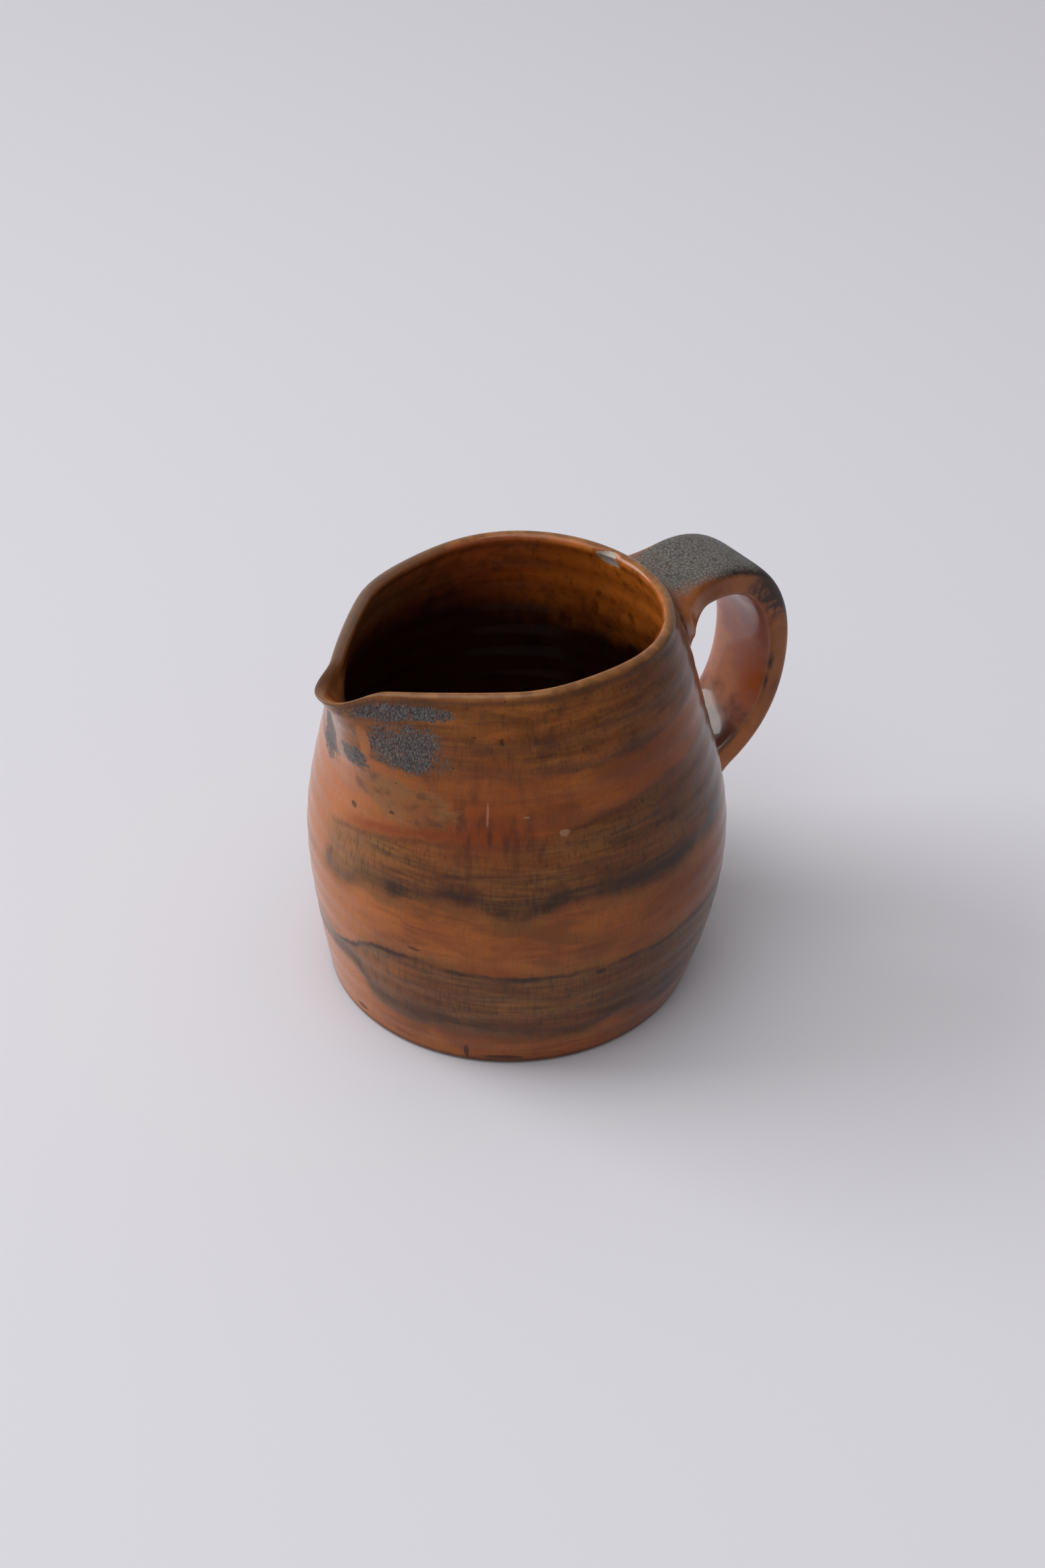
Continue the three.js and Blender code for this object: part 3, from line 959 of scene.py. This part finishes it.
def inner_glaze(clay):
    """Amber glaze that darkens down the wall, with painted light on the handle side, where the dark also
    starts lower, and dark flecks. Colour, roughness, height.
    """
    tree = clay.tree
    runs = clay.noise(9, 4, (1, 1, 2), 71)
    rings = clay.noise(9, 3, (3, 3, 0.35), 73)
    mottle = clay.noise(3, 4, shift=75)
    # Darker down the wall, and higher up away from the handle as painted shade where less light falls
    low_dark_and_painted_shade = ramp(clay.z + (runs - 0.5) * 26 + ramp(clay.x, 5, 44) * 15, 123, 97)
    amber = mix(tree, ramp(rings, 0.35, 0.65), INNER_AMBER, INNER_HONEY)
    amber = mix(tree, ramp(runs, 0.48, 0.7) * 0.7, amber, INNER_RUST)
    # Painted light: the inner wall towards the handle is lit gold where the light falls
    amber = mix(tree, ramp(clay.x + (mottle - 0.5) * 16, 20, 42) * 0.8, amber, INNER_PAINTED_LIGHT)
    colour = mix(tree, low_dark_and_painted_shade, amber, LOW_WALL_DARK)
    colour = mix(tree, ramp(mottle, 0.5, 0.7) * 0.3, colour, POOL_MOTTLE)
    colour = mix(tree, clay.towards(-46, -56) * ramp(clay.z, 104, 112) * 0.6, colour, INNER_OLIVE)
    flecks = ramp(clay.cells(2.6, "F1"), 0.1, 0.05) * ramp(clay.noise(12, 2, shift=77), 0.52, 0.62)
    stains = ramp(clay.x + (runs - 0.5) * 20, 20, 40) * ramp(clay.noise(5, 4, (1, 1, 1.6), 79), 0.52, 0.7)
    colour = mix(tree, highest(flecks * 0.7, stains * 0.6), colour, DARK_FLECK)
    return colour, 0.16 + (runs - 0.5) * 0.1, runs * 0.3 + rings * 0.07 + mottle * 0.1


def lip_glaze(clay, colour, lip_side):
    """The glaze thins to ochre over the lip's crest, with a darker line on each side."""
    tree = clay.tree
    wobble = (clay.noise(6, 3, shift=81) - 0.5) * 1.4
    across = lip_side + wobble
    ochre = mix(tree, ramp(clay.noise(4, 3, shift=83), 0.4, 0.65), LIP_BROWN, LIP_OCHRE)
    ochre = mix(tree, clay.towards(-38, -58, wobble * 6) * 0.8, ochre, LIP_SLATE)
    thin = ramp(across, -2.6, -1.2) * ramp(across, 2.2, 0.8)
    colour = mix(tree, thin * 0.85, colour, ochre)
    shade = hill(across, -3.2, 0.9) * 0.5 + hill(across, 2.4, 0.8) * 0.4
    return mix(tree, shade, colour, LIP_SHADE)


def shader(material, colour, roughness, height, gloss):
    tree = material.node_tree
    coat = add_node(
        tree,
        "ShaderNodeBsdfPrincipled",
        {
            "Base Color": colour,
            "Roughness": roughness,
            "IOR": 1.27,
            "Coat Weight": gloss,
            "Coat Roughness": 0.07,
            "Coat IOR": 1.5,
        },
    )
    relief = add_node(tree, "ShaderNodeBump", {"Height": height, "Strength": 0.35, "Distance": 0.5 * MM})
    feed(coat.inputs["Normal"], relief.outputs[0])
    output = tree.nodes.new("ShaderNodeOutputMaterial")
    tree.links.new(coat.outputs[0], output.inputs[0])


def new_material(name):
    material = bpy.data.materials.new(name)
    material.use_nodes = True
    material.node_tree.nodes.clear()
    return material


def attribute(tree, name):
    return Field(add_node(tree, "ShaderNodeAttribute", attribute_name=name).outputs["Fac"])


def body_glaze():
    material = new_material("body_glaze")
    tree = material.node_tree
    clay = Clay(tree)
    lip_side = attribute(tree, "lip_side")
    outside, outside_rough, outside_height = banded_glaze(clay)
    inside, inside_rough, inside_height = inner_glaze(clay)
    inner = ramp(lip_side, -0.4, 1.2)
    colour = lip_glaze(clay, mix(tree, inner, outside, inside), lip_side)
    chipped = ramp(attribute(tree, "chip"), 0.25, 0.6)
    fresh_clay = mix(tree, clay.noise(0.8, 3, shift=91), GREY_CLAY, PALE_CLAY)
    colour = mix(tree, chipped, colour, fresh_clay)
    underside = ramp(clay.z, 0.9, 0.3) * (1 - inner)
    fired_clay = mix(tree, clay.noise(3, 4, shift=95), BROWN_CLAY, BUFF_CLAY)
    colour = mix(tree, underside, colour, fired_clay)
    dry = highest(chipped, underside)
    rough = blend(dry, blend(inner, outside_rough, inside_rough), 0.85)
    height = blend(inner, outside_height, inside_height) + dry * clay.noise(0.7, 3, shift=97) * 0.3
    gloss = 0.14 + inner * 0.1 + hill(lip_side, -0.4, 2.2) * 0.28 - dry * 0.14
    shader(material, colour, rough, height, clamp01(gloss))
    return material


class Strap:
    """Coordinates along, across and round the strap, and the noises that its glazes share."""

    def __init__(self, clay):
        self.along, self.side, self.lift = (attribute(clay.tree, name) for name in ("along", "side", "lift"))
        self.fray = clay.noise(5, 4, shift=101) - 0.5
        self.fine = clay.noise(1.4, 3, shift=103) - 0.5
        self.grain = clay.noise(0.6, 2, shift=105)
        self.clouds = clay.noise(16, 3, shift=107)
        self.inner_face = ramp(self.lift + self.fray * 0.25, -0.55, -0.85)


def strap_ground(clay, strap):
    """Orange-brown glaze, turning plum on the face towards the body, where a pink sheen is painted into the
    plum.
    """
    tree, fray = clay.tree, strap.fray
    colour = mix(tree, ramp(strap.clouds, 0.35, 0.65), STRAP_ORANGE, STRAP_AMBER)
    colour = mix(tree, ramp(clay.noise(8, 3, shift=109), 0.5, 0.7) * 0.5, colour, STRAP_RUST)
    colour = mix(tree, ramp(strap.along, 88, 112) * 0.6, colour, STRAP_HONEY)
    # The plum is partly the glaze's own red-brown and partly a painted pink reflection
    plum = mix(tree, ramp(strap.clouds + fray * 0.4, 0.4, 0.65), PLUM_WITH_SHEEN, PALE_PLUM_SHEEN)
    plum = mix(tree, hill(clay.z + fray * 10, 72, 7) * ramp(clay.y, 0, -9) * 0.8, plum, EMBER_PLUM)
    plum = mix(tree, ramp(clay.z + fray * 14, 68, 54) * 0.85, plum, DEEP_PLUM)
    return mix(tree, strap.inner_face, colour, plum)


def strap_ash(clay, strap, colour):
    """Satin ash in fine scales along the top of the strap. The colour, the ash and the scales' edges."""
    tree, along, lift, fray = clay.tree, strap.along, strap.lift, strap.fray
    root = ramp(along, 30, 14)
    top_face = ramp(lift + fray * 0.3 + strap.fine * 0.12 - root * 0.22, 0.5, 0.82)
    down_strap = ramp(along + fray * 22, 84, 52)
    ash = top_face * down_strap
    edges = clay.cells(1.35)
    ash_colour = mix(tree, ramp(edges, 0.02, 0.16), ASH_CRACK, ASH_SCALE)
    ash_colour = mix(tree, ramp(strap.clouds, 0.42, 0.62) * 0.5, ash_colour, OLIVE_ASH)
    ash_colour = mix(tree, ramp(along + fray * 14, 30, 60) * 0.5, ash_colour, WARM_ASH)
    colour = mix(tree, ash, colour, ash_colour)
    rest_top = ramp(lift + fray * 0.3, 0.6, 0.85) * (1 - down_strap)
    return mix(tree, rest_top * 0.3, colour, STRAP_BROWN), ash, edges


def strap_soot(clay, strap):
    """Where the strap is sooty: along its dark edge, in a smudge past the crown and in two drips."""
    along, lift, fray, fine = strap.along, strap.lift, strap.fray, strap.fine
    dark_edge = hill(lift + fine * 0.4, 0.66, 0.17) * between(along + fray * 12, 26.0, 62.0, 6)
    clumps = ramp(clay.noise(3, 4, shift=111) + lift * 0.25, 0.3, 0.55)
    smudge = between(along + fray * 16, 39.0, 58.0, 4) * clumps * ramp(lift, -0.9, -0.5)
    drips = highest(
        hill(along + fine * 3, 76, 3.0) * hill(lift + fray * 0.3, -0.5, 0.22),
        hill(along + fine * 3, 83.5, 3.0) * hill(lift + fray * 0.3, -0.62, 0.12),
    )
    near_side = ramp(strap.side, -0.6, -0.9)
    return highest(dark_edge * 0.9, smudge * 0.9, drips * near_side * 0.9)


def handle_glaze():
    """The strap's own glazes, which give way to the body's where a wad runs out over the wall."""
    material = new_material("handle_glaze")
    tree = material.node_tree
    clay = Clay(tree)
    strap = Strap(clay)
    wall, wall_rough, wall_height = banded_glaze(clay)
    colour, ash, edges = strap_ash(clay, strap, strap_ground(clay, strap))
    soot = strap_soot(clay, strap)
    colour = mix(tree, soot, colour, STRAP_SOOT)
    colour = mix(tree, (strap.grain - 0.5).math("ABSOLUTE") * 0.5, colour, STRAP_GRAIN)
    on_wall = ramp(attribute(tree, "off_wall") + strap.fray * 2, 3.2, 0.6)
    colour = mix(tree, on_wall, colour, wall)
    own_rough = 0.24 + ash * 0.3 + soot * 0.1 + (strap.grain - 0.5) * 0.1
    own_height = strap.clouds * 0.3 + ash * (ramp(edges, 0.02, 0.2) * 0.12 + strap.grain * 0.06)
    rough, height = blend(on_wall, own_rough, wall_rough), blend(on_wall, own_height, wall_height)
    shader(material, colour, rough, height, clamp01(0.14 + strap.inner_face * 0.5))
    return material


# ---------------------------------------------------------------------------------------------------------
# Pieces
# ---------------------------------------------------------------------------------------------------------


def make_body():
    inside, lip, outside = body_profile()
    line = poly_line("body_profile", [*inside, *lip, *outside])
    lip_length = length_along([*inside, *lip[: len(lip) // 2 + 1]])
    rule = throw_rule(body_glaze())
    body = grown_mesh(line, rule, {**SPOUT, **THROWING, "Lip Length": lip_length}, "jug_body_thrown")
    bpy.data.objects.remove(line)
    close_ends(body)
    finish_piece(body, "body_glaze", "jug_body")
    return body


def handle_line():
    """The strap's centreline, from inside the wall at the upper root to inside it at the lower root."""

    def root_at(z):
        return Vector((wall_radius(z) + centre_at(z)[0], 0, z))

    def part_way(start, end, across, up):
        return Vector((start.x + (end.x - start.x) * across, 0, start.z + (end.z - start.z) * up))

    upper_root, lower_root = root_at(HEIGHT - UPPER_ROOT_DROP), root_at(LOWER_ROOT_HEIGHT)
    furthest = Vector((HANDLE_REACH, 0, HANDLE_REACH_HEIGHT))
    crown = part_way(upper_root, furthest, CROWN_REACH, 0) + Vector((0, 0, CROWN_RISE))
    crown_end = part_way(furthest, upper_root, 0, CROWN_HOLD)
    sweep_start = part_way(furthest, lower_root, 0, SWEEP_HOLD)
    sweep_end = part_way(lower_root, furthest, SWEEP_REACH, 0) + Vector((0, 0, LOWER_ROOT_RISE))
    upper_in = upper_root + (upper_root - crown).normalized() * WAD_INSET
    lower_in = lower_root + (lower_root - sweep_end).normalized() * WAD_INSET
    data = bpy.data.curves.new("handle_line", "CURVE")
    data.dimensions = "3D"
    data.resolution_u = 64
    spline = data.splines.new("BEZIER")
    knots = [
        (upper_in, upper_in, upper_in),
        (upper_root, upper_root, crown),
        (furthest, crown_end, sweep_start),
        (lower_root, sweep_end, lower_root),
        (lower_in, lower_in, lower_in),
    ]
    spline.bezier_points.add(len(knots) - 1)
    for knot, (place, before, after) in zip(spline.bezier_points, knots):
        knot.handle_left_type = knot.handle_right_type = "FREE"
        knot.co, knot.handle_left, knot.handle_right = place, before, after
    return linked("handle_line", data), spline.calc_length()


def make_handle(body):
    """The strap and its two wads, cut from one smooth sweep so that the glaze runs on across the joints."""
    line, length = handle_line()
    rule = strap_rule(body, handle_glaze())
    upper_cut = WAD_INSET + WAD_LENGTH
    lower_cut = length - WAD_INSET - WAD_LENGTH
    pieces = {
        "upper_handle_wad": (0, upper_cut),
        "handle_strap": (upper_cut, lower_cut),
        "lower_handle_wad": (lower_cut, length),
    }
    for node, (start, end) in pieces.items():
        sizes = {**STRAP, **WADS, "Handle Length": length, "Start": start, "End": end}
        piece = grown_mesh(line, rule, sizes, node + "_pulled")
        close_ends(piece)
        keep_whole_normals(piece)
        finish_piece(piece, "handle_glaze", node)
    bpy.data.objects.remove(line)


def keep_whole_normals(piece):
    """Shades the piece as part of the whole sweep, so that no seam shows where two pieces meet."""
    mesh = piece.data
    normals = [value.vector.copy() for value in mesh.attributes["whole_normal"].data]
    mesh.attributes.remove(mesh.attributes["whole_normal"])
    mesh.normals_split_custom_set_from_vertices(normals)


# ---------------------------------------------------------------------------------------------------------
# Studio
# ---------------------------------------------------------------------------------------------------------


def aimed(made, place, target):
    """Puts a camera or a lamp at a place and turns it to a target, both in metres."""
    made.location = place
    made.rotation_euler = (Vector(target) - Vector(place)).to_track_quat("-Z", "Y").to_euler()
    return made


def make_camera():
    camera = linked("camera", bpy.data.cameras.new("camera"))
    camera.data.lens = 50
    camera.data.sensor_width = 36
    place = Vector(CAMERA_PLACE) * MM
    bpy.context.scene.camera = aimed(camera, place, place + Vector(CAMERA_AIM))


def soft_light(name, place, target, width, tall, power):
    """A rectangular lamp, in metres and watts."""
    data = bpy.data.lights.new(name, "AREA")
    data.shape = "RECTANGLE"
    data.size, data.size_y = width, tall
    data.energy = power
    return aimed(linked(name, data), place, target)


def make_room():
    """Pale walls all round, brighter towards the window and dim on the side that the camera stands on."""
    world = bpy.data.worlds.new("room")
    bpy.context.scene.world = world
    world.use_nodes = True
    tree = world.node_tree
    background = tree.nodes["Background"]
    facing = add_node(tree, "ShaderNodeVectorMath", operation="DOT_PRODUCT")
    feed(facing.inputs[0], add_node(tree, "ShaderNodeTexCoord").outputs["Generated"])
    feed(facing.inputs[1], WINDOW_SIDE)
    glow = ramp(Field(facing.outputs["Value"]), -0.9, 0.9)
    feed(background.inputs["Strength"], blend(glow, *ROOM_GLOW))
    background.inputs["Color"].default_value = ROOM_TINT


def make_studio():
    bpy.ops.mesh.primitive_plane_add(size=12)
    floor = bpy.context.object
    floor.name = "pale_floor"
    paper = new_material("pale_paper")
    tree = paper.node_tree
    finish = add_node(tree, "ShaderNodeBsdfPrincipled", {"Base Color": PALE_PAPER, "Roughness": 0.8})
    output = tree.nodes.new("ShaderNodeOutputMaterial")
    tree.links.new(finish.outputs[0], output.inputs[0])
    floor.data.materials.append(paper)
    target = (0, 0, 0.06)
    soft_light("window", (-2.2, 2.57, 2.4), target, 2.7, 2.2, 98)
    soft_light("ceiling_bounce", (-0.3, 0, 1.3), target, 1.2, 1.2, 7)
    make_room()
    bpy.context.scene.view_settings.view_transform = "Standard"


jug_body = make_body()
make_handle(jug_body)
make_camera()
make_studio()
